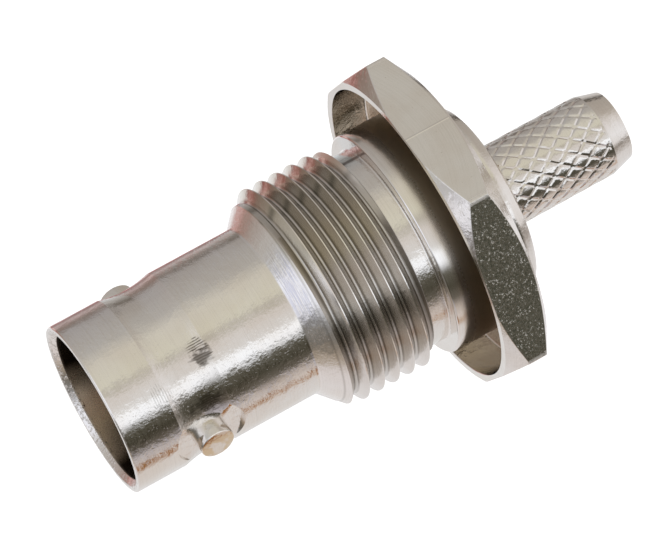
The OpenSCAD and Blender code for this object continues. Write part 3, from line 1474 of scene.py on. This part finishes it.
@dataclass
class Stem:
    """The knurled crimp stem with its flange and its tapered end."""

    end: float
    collar_end: float
    flange_r: float
    bore_r: float
    plain_r: float = 2.27 * MM
    knurl_r: float = 2.31 * MM
    lip: float = 0.7 * MM
    flange: float = 1.5 * MM
    knurl_gap: float = 0.6 * MM
    taper: float = 1.2 * MM
    tip_r: float = 1.95 * MM
    grooves: int = 16
    crossing: float = 1.118 * MM
    crossing_y: float = 8.09 * MM
    crossing_turn: float = math.radians(-67.5)
    groove_depth: float = 0.055 * MM
    pillow: float = 0.15
    pad_lean: float = 0.18
    cuts: int = 8

    def pad_height(self, a: int, b: int, leans: Mapping[tuple[int, int], Node2]) -> float:
        """Give the knurl's height at a point of its grid.

        Args:
            a: Place round the axis, in half columns.
            b: Place along the axis, in rows.
            leans: How each pad leans along both families of grooves.

        Returns:
            The height, 0 in a groove and about 1 on a pad.
        """
        pads, rests = zip(*(divmod(place, self.cuts) for place in ((a + b) // 2, (a - b) // 2)))
        if 0 in rests:
            return 0.0
        lean = leans[(pads[0] - pads[1], sum(pads) % (2 * self.grooves))]
        edge = min(min(rest, self.cuts - rest) for rest in rests) / (self.cuts / 2)
        slant = sum(way * (rest / self.cuts - 0.5) for way, rest in zip(lean, rests))
        return 1.0 - self.pillow + self.pillow * edge + slant * self.pad_lean

    def row_y(self, row: int) -> float:
        """Give the station of a row of the knurl's grid."""
        return self.crossing_y + row * self.crossing / (2 * self.cuts)

    def knurl_rows(self) -> range:
        """Find the rows of the knurl's grid.

        Returns:
            The rows' numbers, from an even row to an even row.
        """
        low = self.collar_end + self.knurl_gap
        high = self.end - self.taper
        first = math.ceil((low - self.crossing_y) / self.crossing * self.cuts)
        last = math.floor((high - self.crossing_y) / self.crossing * self.cuts)
        return range(2 * first, 2 * last + 1)

    def add_knurl(self, skin: Skin) -> None:
        """Add the band of crossed grooves, on a grid whose diagonals follow them.

        Args:
            skin: The skin that it joins.
        """
        chance = random.Random(5)
        leans = defaultdict(lambda: (chance.uniform(-1, 1), chance.uniform(-1, 1)))
        count = self.grooves * self.cuts
        rows: list[list[int]] = []
        for b in self.knurl_rows():
            row = []
            for k in range(count):
                a = 2 * k + b % 2
                fall = self.groove_depth * (1 - self.pad_height(a, b, leans))
                turn = self.crossing_turn + math.pi * a / count
                row.append(skin.point(around(self.row_y(b), self.knurl_r - fall, turn)))
            rows.append(row)
        for i in range(1, len(rows) - 1):
            ahead = (i + 1) % 2
            for k in range(count):
                right, left = (k + ahead) % count, (k + ahead - 1) % count
                skin.face(rows[i - 1][k], rows[i][right], rows[i + 1][k], rows[i][left])
        for edge, beside in ((rows[0], rows[1]), (rows[-1], rows[-2])):
            for k in range(count):
                skin.face(edge[k], edge[(k + 1) % count], beside[k])
        for edge, row in ((rows[0], self.knurl_rows()[0]), (rows[-1], self.knurl_rows()[-1])):
            skin.join(edge, skin.ring([(self.row_y(row), self.plain_r)] * count))

    def build(self) -> bpy.types.Object:
        """Build the stem.

        Returns:
            The finished object.
        """
        columns = self.grooves * self.cuts
        skin = Skin([self.crossing_turn + 2 * math.pi * k / columns for k in range(columns)])
        flange_rear = self.collar_end - self.lip
        flange_front = flange_rear - self.flange
        fine = 0.05 * MM
        behind = [
            Corner(self.row_y(self.knurl_rows()[-1]), self.plain_r),
            Corner(self.end - self.taper + 0.05 * MM, self.plain_r, 0.03 * MM),
            Corner(self.end, self.tip_r, 0.06 * MM),
            Corner(self.end, self.bore_r, 0.05 * MM),
            Corner(flange_front, self.bore_r, fine),
            Corner(flange_front, self.flange_r, fine),
            Corner(flange_rear, self.flange_r, fine),
            Corner(flange_rear, self.plain_r, 0.1 * MM),
            Corner(self.row_y(self.knurl_rows()[0]), self.plain_r),
        ]
        skin.sweep(rounded(behind))
        self.add_knurl(skin)
        return skin.finish("crimp_stem_knurled", 30)


# ---------------------------------------------------------------- studio


@dataclass(frozen=True)
class Card:
    """A strip of the studio that the metal mirrors.

    Attributes:
        name: What stands there.
        edges: For each edge, the turn from the camera's side of a surface that mirrors it, in
            degrees, and its red, green and blue on the display, as they show in the metal.
    """

    name: str
    edges: tuple[tuple[int, int, int, int], ...]


@dataclass
class Studio:
    """The camera, the pale floor and the light tent with its rows of cards.

    Attributes:
        tilt: Angle from the jack's axis to the camera's direction, in degrees.
        lean: Turn of the picture about the camera's direction, in degrees.
        near_turn: How far the first lug is turned from the camera's side, in degrees.
        distance: From the camera to the frame's origin, along its direction.
        aim_right: How far the origin lies right of the picture's middle.
        aim_down: How far the origin lies below the picture's middle.
        lens: Focal length for the sensor's width, both in millimetres.
        sensor: The sensor's width.
        floor_size: Length of the floor's sides.
        floor_drop: How far the floor lies below the jack.
        plain: What surfaces along the axis mirror.
        forward: What surfaces mirror that face a little towards the mouth.
        mouthward: What surfaces mirror that face more towards the mouth, like the flare.
        flankward: What the thread's front flanks mirror.
        stemward: What surfaces mirror that face towards the stem.
        end_on: What surfaces mirror that face along the axis.
    """

    tilt: float = 77.3
    lean: float = -28.74
    near_turn: float = 57.0
    distance: float = 225 * MM
    aim_right: float = 4.30 * MM
    aim_down: float = -2.317 * MM
    lens: float = 232.1784
    sensor: float = 36.0
    floor_size: float = 6.0
    floor_drop: float = 120 * MM
    plain: tuple[Card, ...] = (
        Card("white wall", ((-90, 215, 213, 210), (-78, 190, 188, 184))),
        Card("grey wall", ((-71, 167, 161, 155),)),
        Card("dark gap", ((-62, 106, 98, 90),)),
        Card("lilac board", ((-58, 154, 147, 141), (-34, 171, 165, 157))),
        Card("cream board", ((-24, 200, 193, 179), (-9, 205, 199, 181))),
        Card("fold", ((-5, 180, 173, 160),)),
        Card("front panel", ((0, 207, 199, 191), (10, 213, 209, 205))),
        Card("lamp", ((13, 250, 250, 251), (18, 244, 244, 246))),
        Card("black flag", ((23, 94, 90, 80), (31, 70, 66, 55), (38, 102, 95, 85))),
        Card("tan edge", ((43, 178, 165, 154),)),
        Card("pink board", ((49, 206, 194, 186),)),
        Card("brown seam", ((53, 182, 158, 138),)),
        Card("white floor", ((56, 208, 201, 197), (90, 212, 210, 205))),
    )
    forward: tuple[Card, ...] = (
        Card("white wall", ((-90, 206, 178, 174),)),
        Card("red card", ((-86, 158, 96, 92), (-83, 152, 118, 114))),
        Card("dark edge", ((-79, 136, 118, 112),)),
        Card("pale gap", ((-74, 186, 166, 162),)),
        Card("grey wall", ((-70, 146, 128, 121),)),
        Card("dark gap", ((-65, 126, 112, 104),)),
        Card("lilac board", ((-60, 156, 150, 147), (-34, 174, 169, 163))),
        Card("cream board", ((-24, 200, 193, 180), (-9, 205, 199, 183))),
        Card("fold", ((-5, 186, 179, 167),)),
        Card("front panel", ((0, 207, 199, 192), (9, 214, 210, 206))),
        Card("lamp", ((12, 252, 252, 253), (17, 240, 240, 242))),
        Card("black flag", ((23, 82, 78, 66), (31, 54, 49, 38), (37, 92, 84, 75))),
        Card("lilac edge", ((42, 176, 170, 174), (48, 184, 176, 172))),
        Card("orange card", ((50, 134, 88, 40), (53, 148, 100, 52))),
        Card("white floor", ((56, 208, 198, 190), (90, 212, 209, 205))),
    )
    mouthward: tuple[Card, ...] = (
        Card("white wall", ((-90, 228, 222, 219), (-83, 224, 212, 207))),
        Card("red card", ((-81, 142, 82, 74), (-79, 156, 98, 90))),
        Card("pink gap", ((-76, 220, 186, 178), (-72, 208, 174, 166))),
        Card("second red card", ((-70, 148, 98, 90),)),
        Card("brown wall", ((-65, 150, 124, 112), (-56, 160, 146, 138))),
        Card("lilac board", ((-32, 182, 177, 171),)),
        Card("cream board", ((-24, 186, 184, 180),)),
        Card("lamp", ((-13, 240, 240, 246), (8, 236, 236, 241))),
        Card("black flag", ((17, 126, 124, 121), (30, 108, 102, 94))),
        Card("tan edge", ((42, 168, 153, 136),)),
        Card("pink board", ((51, 214, 205, 202),)),
        Card("white floor", ((90, 216, 211, 207),)),
    )
    flankward: tuple[Card, ...] = (
        Card("white wall", ((-90, 234, 232, 230), (-79, 222, 216, 213))),
        Card("red card", ((-77, 124, 62, 54), (-75, 140, 78, 70))),
        Card("pink gap", ((-72, 196, 158, 152),)),
        Card("second red card", ((-69, 146, 94, 86),)),
        Card("brown wall", ((-64, 132, 112, 102), (-46, 150, 142, 131))),
        Card("lilac board", ((-30, 180, 174, 166),)),
        Card("cream board", ((-14, 186, 183, 176),)),
        Card("fold", ((-5, 180, 176, 176),)),
        Card("lamp", ((0, 236, 234, 238), (6, 222, 220, 224))),
        Card("black flag", ((13, 112, 106, 101), (30, 110, 103, 96))),
        Card("tan edge", ((42, 160, 148, 134),)),
        Card("pink board", ((52, 202, 194, 190),)),
        Card("white floor", ((90, 214, 209, 205),)),
    )
    stemward: tuple[Card, ...] = (
        Card("white wall", ((-90, 214, 211, 208), (-62, 190, 184, 178))),
        Card("dark gap", ((-54, 74, 67, 60),)),
        Card("beige board", ((-48, 162, 153, 143), (-22, 174, 165, 155))),
        Card("front panel", ((-8, 214, 207, 202),)),
        Card("lamp", ((12, 228, 224, 222), (24, 218, 212, 208))),
        Card("brown seam", ((29, 138, 129, 120),)),
        Card("grey board", ((34, 176, 167, 160),)),
        Card("white floor", ((44, 212, 206, 202), (90, 216, 212, 208))),
    )
    end_on: tuple[Card, ...] = (
        Card("pale end wall", ((-90, 208, 203, 199), (90, 214, 210, 206))),
    )

    def square(self, turn: float) -> Vector:
        """Give a direction square to the axis, by its turn from the camera's side in degrees."""
        return Vector(around(0, 1, math.radians(turn - self.near_turn)))

    def directions(self) -> tuple[Vector, Vector, Vector]:
        """Work out the camera's directions.

        Returns:
            Unit vectors to the right of the picture, down it and away from the camera.
        """
        along, near, side = Vector((0, 1, 0)), self.square(0), self.square(90)
        tilt, lean = math.radians(self.tilt), math.radians(self.lean)
        away = along * math.cos(tilt) - near * math.sin(tilt)
        level = along * math.sin(tilt) + near * math.cos(tilt)
        right = level * math.cos(lean) - side * math.sin(lean)
        down = level * math.sin(lean) + side * math.cos(lean)
        return right, down, away

    def add_camera(self) -> None:
        """Add the camera."""
        right, down, away = self.directions()
        data = bpy.data.cameras.new("camera")
        data.sensor_width = self.sensor
        data.lens = self.lens
        data.clip_start = 0.01
        data.clip_end = 20.0
        matrix = Matrix((right, -down, -away)).transposed().to_4x4()
        matrix.translation = -(
            right * self.aim_right + down * self.aim_down + away * self.distance
        )
        camera = scene_object("camera", data)
        camera.matrix_world = matrix
        bpy.context.scene.camera = camera

    def add_floor(self) -> None:
        """Add the floor well below the jack, which is held by its panel mount."""
        half = self.floor_size / 2
        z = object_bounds()[0][2] - self.floor_drop
        corners = [(-half, -half, z), (half, -half, z), (half, half, z), (-half, half, z)]
        floor = mesh_object("floor", corners, [(0, 1, 2, 3)])
        floor.data.materials.append(PaleFloor().make())
        floor.visible_glossy = False
        floor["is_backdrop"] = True

    @staticmethod
    def wall(graph: Graph, cards: Sequence[Card], turn: Signal, metal: Colour) -> Signal:
        """Stand a row of cards round the jack.

        Args:
            graph: The world's graph.
            cards: The cards, in order.
            turn: Where a direction falls in the row, from 0 to 1.
            metal: The metal's own colour, which the cards' tones allow for.

        Returns:
            The row's colour in that direction.
        """
        stops = []
        for edge, *tone in (e for card in cards for e in card.edges):
            colour = tuple(t / m for t, m in zip(srgb(*tone), metal))
            stops.append((edge / 180 + 0.5, colour))
        return graph.node("ShaderNodeValToRGB", {"stops": stops}, {0: turn})

    def add_tent(self, metal: Colour) -> None:
        """Add the light tent as the world.

        Args:
            metal: The metal's own colour, which the cards' tones allow for.
        """
        world = bpy.data.worlds.new("tent")
        bpy.context.scene.world = world
        world.use_nodes = True
        graph = Graph(world.node_tree)
        _, _, away = self.directions()
        looked = graph.node("ShaderNodeTexCoord", output="Generated")
        facing = graph.vector("ADD", looked, tuple(-away))
        near, side = (graph.dot(facing, tuple(self.square(t))) for t in (0, 90))
        turn = (side.maths("ARCTAN2", near) / math.pi + 0.5).clamped()
        tilt = graph.dot(graph.vector("NORMALIZE", facing), (0.0, 1.0, 0.0))
        tent = self.wall(graph, self.plain, turn, metal)
        # Each row takes over between two tilts: 0 is square to the axis, 1 faces the stem.
        for cards, start, end in (
            (self.forward, -0.026, -0.034),
            (self.mouthward, -0.15, -0.55),
            (self.flankward, -0.77, -0.83),
            (self.stemward, 0.12, 0.3),
        ):
            tent = graph.mix(tilt.step(start, end), tent, self.wall(graph, cards, turn, metal))
        end_on = tilt.maths("ABSOLUTE").step(0.93, 0.975)
        tent = graph.mix(end_on, tent, self.wall(graph, self.end_on, turn, metal))
        seen = graph.node("ShaderNodeLightPath", output="Is Camera Ray")
        tone = graph.mix(seen, tent, (1.0, 1.0, 1.0))
        light = graph.node("ShaderNodeBackground", inputs={"Color": tone, "Strength": 1.0})
        graph.node("ShaderNodeOutputWorld", inputs={"Surface": light})


def main() -> None:
    """Build the jack's looks around the frame."""
    logging.basicConfig(level=logging.INFO, format="%(name)s: %(message)s")
    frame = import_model()
    mounts = {m["name"]: m for m in frame["record"]["mounts"]}
    thread, spigot = mounts["panel_thread"], mounts["panel_spigot"]
    shell_low, shell_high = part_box("shell")
    stem_low, stem_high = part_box("crimp_stem")
    bpy.context.scene.view_settings.view_transform = "Standard"
    studio = Studio()
    studio.add_camera()
    studio.add_floor()
    studio.add_tent(Coat.NICKEL.value)
    shell_piece = Shell(
        mouth=shell_low.y,
        collar_end=shell_high.y,
        thread_mid=thread["pos_m"][1],
        thread_length=thread["dims"]["length_mm"] * MM,
        thread_r=thread["dims"]["r_mm"] * MM,
        spigot_r=spigot["dims"]["r_mm"] * MM,
        lug_end=5.5 * MM,
    )
    shell = shell_piece.build()
    waist_mid = (shell_piece.mouth + shell_piece.lug_reach) / MM
    finish = ShellNickel(
        name="nickel_shell",
        sizes=shell_piece.sizes(),
        scuffs=(
            Scuff(-62, 5, waist_mid + 1.15, 0.55, strength=0.7),
            Scuff(-54, 6, waist_mid + 1.05, 0.6, strength=0.85, smudge=0.72),
            Scuff(-25, 8, waist_mid + 0.3, 1.0, strength=0.55, smudge=0.4),
            Scuff(-44, 8, waist_mid - 1.8, 0.7, Scratch.TURNING, 0.22),
        ),
    )
    shell.data.materials.clear()
    shell.data.materials.append(finish.make())
    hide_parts("shell")
    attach(shell, "root")
    log.info("shell: %d faces", len(shell.data.polygons))
    stem = Stem(
        end=stem_high.y,
        collar_end=shell_high.y,
        flange_r=stem_high.x,
        bore_r=mounts["cable_bore"]["dims"]["r_mm"] * MM,
    ).build()
    stem.data.materials.append(TurnedNickel(name="nickel_stem", peel=0.012, grain=0.009).make())
    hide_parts("crimp_stem")
    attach(stem, "root")
    log.info("stem: %d faces", len(stem.data.polygons))
    white = Fluoropolymer().make()
    gold = Gold().make()
    for name, material in (
        ("front_insulator", white),
        ("rear_insulator", white),
        ("centre_contact", gold),
    ):
        node = frame["nodes"][name]
        node.data.materials.clear()
        node.data.materials.append(material)
        log.info("%s: finished", name)


if __name__ == "__main__":
    main()
